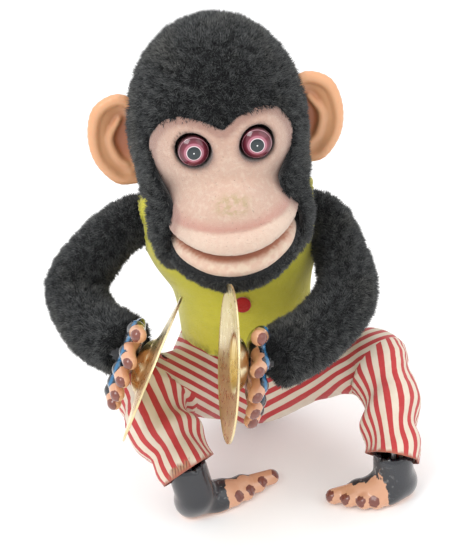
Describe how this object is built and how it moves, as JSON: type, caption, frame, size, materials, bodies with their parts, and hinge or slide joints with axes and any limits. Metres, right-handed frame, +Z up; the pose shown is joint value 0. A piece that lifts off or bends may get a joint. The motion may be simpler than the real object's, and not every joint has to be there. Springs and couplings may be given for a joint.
{
  "type": "wind-up cymbal monkey toy",
  "caption": "Seated clockwork plush monkey with bulging eyes, striped trousers and a brass cymbal in each hand; arms clap, the head presses down.",
  "frame": {"origin": "bottom centre of the whole toy's box, on the surface it stands on", "axes": "+Z up, the monkey faces -Y, +X to its own left (the viewer's right)"},
  "size_m": [0.2022, 0.2026, 0.262],
  "materials": {
    "black_plush": "short charcoal pile with grey-green tips",
    "face_knit": "worn pale peach flocked knit",
    "peach_vinyl": "soft moulded vinyl with painted backs and nails",
    "black_vinyl": "glossy painted vinyl, peach toes",
    "yellow_felt": "felt, slightly soiled",
    "red_felt": "felt dot",
    "striped_cotton": "woven cotton with red and cream stripes",
    "eye_plastic": "polished maroon plastic",
    "black_plastic": "moulded black plastic",
    "brass": "polished, lightly tarnished",
    "steel": "plated wire and turned steel",
    "tinplate": "pressed tinplate"
  },
  "bodies": {
    "body": {"vest": "yellow_felt", "vest_button": "red_felt", "trouser_seat": "striped_cotton", "trouser_leg_left": "striped_cotton", "trouser_leg_right": "striped_cotton", "rear_foot": "black_plastic", "base_screw_left": "steel", "base_screw_right": "steel", "leg_rod_left": "steel", "leg_rod_right": "steel", "neck_tube": "steel", "head_spring": "steel", "shoulder_pin_left": "steel", "shoulder_pin_right": "steel", "pillar_upper_left": "steel", "pillar_upper_right": "steel", "pillar_lower": "steel", "mainspring": "steel", "base_plate": "tinplate", "torso_front_shell": "tinplate", "torso_back_shell": "tinplate", "motor_front_plate": "tinplate", "motor_back_plate": "tinplate", "shoulder_bracket": "tinplate"},
    "head": {"head_plush": "black_plush", "skull_shell": "black_plastic", "face_mask": "face_knit", "ear_left": "peach_vinyl", "ear_right": "peach_vinyl", "neck_plunger": "steel"},
    "eyes": {"eye_carriage": "steel", "eye_left": "eye_plastic", "eye_right": "eye_plastic"},
    "jaw": {"jaw": "face_knit", "chin_plush": "black_plush"},
    "left_arm": {"arm_lever_left": "steel", "arm_plush_left": "black_plush", "hand_left": "peach_vinyl", "cymbal_left": "brass", "cymbal_bolt_left": "steel", "cymbal_nut_left": "steel"},
    "right_arm": {"arm_lever_right": "steel", "arm_plush_right": "black_plush", "hand_right": "peach_vinyl", "cymbal_right": "brass", "cymbal_bolt_right": "steel", "cymbal_nut_right": "steel"},
    "drive_yoke": {"drive_yoke": "steel"},
    "winding": {"winding_arbor": "steel", "ratchet_wheel": "steel", "winding_key": "steel"},
    "great_wheel": {"great_wheel": "brass"},
    "click": {"click": "steel"},
    "second_wheel": {"second_wheel": "brass"},
    "crank": {"crank_wheel": "brass"},
    "governor": {"governor_fan": "brass"},
    "left_foot": {"foot_left": "black_vinyl"},
    "right_foot": {"foot_right": "black_vinyl"}
  },
  "joints": [
    {"name": "left_arm_swing", "type": "hinge", "parent": "body", "child": "left_arm", "pos_m": [-0.02832, 0.03649, 0.148], "axis": [0, -0.7501, 0.6613], "range_deg": [-12, 7]},
    {"name": "right_arm_swing", "type": "hinge", "parent": "body", "child": "right_arm", "pos_m": [0.03968, 0.03649, 0.148], "axis": [0, -0.7501, 0.6613], "range_deg": [-7, 12]},
    {"name": "yoke_slide", "type": "slide", "parent": "body", "child": "drive_yoke", "axis": [0, 0.6613, 0.7501], "range_m": [-0.0044, 0.0026]},
    {"name": "head_press", "type": "slide", "parent": "body", "child": "head", "axis": [0, 0, 1], "range_m": [-0.004, 0], "stiffness_N_per_m": 400, "springref_m": 0.006, "deforming": ["head_spring"]},
    {"name": "jaw_drop", "type": "hinge", "parent": "head", "child": "jaw", "pos_m": [0.00223, 0.01628, 0.166], "axis": [0.9986, 0.0523, 0], "range_deg": [0, 5]},
    {"name": "eye_slide", "type": "slide", "parent": "head", "child": "eyes", "axis": [0.0523, -0.9986, 0], "range_m": [0, 0.002]},
    {"name": "left_foot_swivel", "type": "hinge", "parent": "body", "child": "left_foot", "pos_m": [-0.03232, -0.03751, 0.015], "axis": [0, 0, 1], "range_deg": [-8, 8]},
    {"name": "right_foot_swivel", "type": "hinge", "parent": "body", "child": "right_foot", "pos_m": [0.07768, -0.03851, 0.012], "axis": [0, 0, 1], "range_deg": [-8, 8]},
    {"name": "key_turn", "type": "hinge", "parent": "body", "child": "winding", "pos_m": [0.00568, 0.03649, 0.08435], "axis": [0, 1, 0], "continuous": true},
    {"name": "train_run", "type": "hinge", "parent": "body", "child": "great_wheel", "pos_m": [0.00568, 0.03649, 0.08435], "axis": [0, 1, 0], "continuous": true},
    {"name": "click_lift", "type": "hinge", "parent": "great_wheel", "child": "click", "pos_m": [0.00706, 0.02749, 0.09577], "axis": [0, 1, 0], "range_deg": [0, 10], "stiffness_Nm_per_rad": 0.0005, "springref_deg": -11.46},
    {"name": "second_turn", "type": "hinge", "parent": "body", "child": "second_wheel", "pos_m": [-0.00767, 0.03649, 0.06623], "axis": [0, 1, 0], "continuous": true},
    {"name": "crank_turn", "type": "hinge", "parent": "body", "child": "crank", "pos_m": [0.00568, 0.03649, 0.062], "axis": [0, 1, 0], "continuous": true},
    {"name": "governor_turn", "type": "hinge", "parent": "body", "child": "governor", "pos_m": [0.01425, 0.03649, 0.0536], "axis": [0, 1, 0], "continuous": true}
  ],
  "couplings": [
    {"joint": "right_arm_swing", "follows": "left_arm_swing", "ratio": -1},
    {"joint": "yoke_slide", "follows": "left_arm_swing", "m_per_rad": 0.02},
    {"joint": "jaw_drop", "follows": "head_press", "rad_per_m": -21.8},
    {"joint": "eye_slide", "follows": "head_press", "ratio": -0.5},
    {"joint": "second_turn", "follows": "train_run", "ratio": -3.5},
    {"joint": "crank_turn", "follows": "train_run", "ratio": 8.75},
    {"joint": "governor_turn", "follows": "train_run", "ratio": -17.5}
  ]
}
